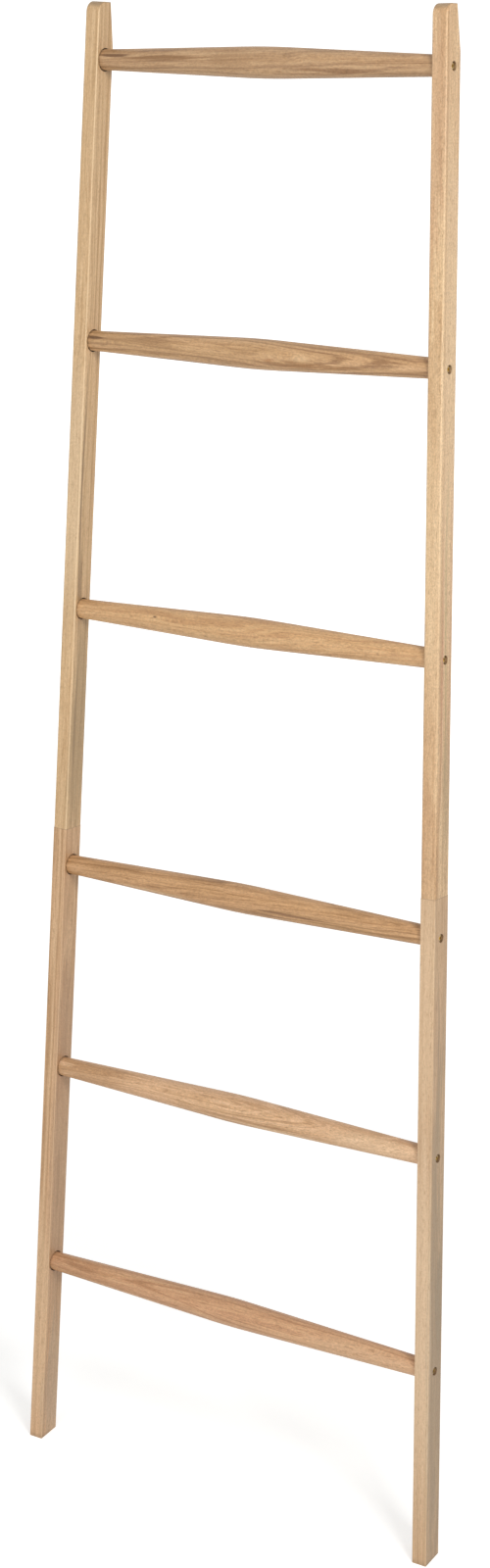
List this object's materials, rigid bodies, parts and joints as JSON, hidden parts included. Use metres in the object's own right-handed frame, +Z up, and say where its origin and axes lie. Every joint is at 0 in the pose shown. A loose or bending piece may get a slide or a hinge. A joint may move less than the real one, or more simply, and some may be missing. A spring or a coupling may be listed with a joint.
{
  "type": "blanket ladder",
  "caption": "Leaning wooden blanket ladder with splayed stiles, spindle rungs that swell in the middle, feet sawn to the floor and tops cut to the wall.",
  "frame": {"origin": "on the floor, midway across the ladder and midway in depth between the front of the feet and the wall", "axes": "+X along the rungs to the right as seen from the front, +Y towards the wall, +Z up"},
  "size_m": [0.59, 0.3044, 1.776],
  "materials": {
    "stile_wood": "sanded and lightly oiled",
    "rung_wood": "turned, sanded and lightly oiled",
    "dowel_wood": "turned beech, glued",
    "screw_steel": "yellow zinc plated"
  },
  "bodies": {
    "root": {"left_stile_upper": "stile_wood", "left_stile_lower": "stile_wood", "right_stile_upper": "stile_wood", "right_stile_lower": "stile_wood", "rung_1": "rung_wood", "rung_2": "rung_wood", "rung_3": "rung_wood", "rung_4": "rung_wood", "rung_5": "rung_wood", "rung_6": "rung_wood", "left_splice_dowels": "dowel_wood", "right_splice_dowels": "dowel_wood", "left_rung_screws": "screw_steel", "right_rung_screws": "screw_steel"}
  },
  "joints": []
}
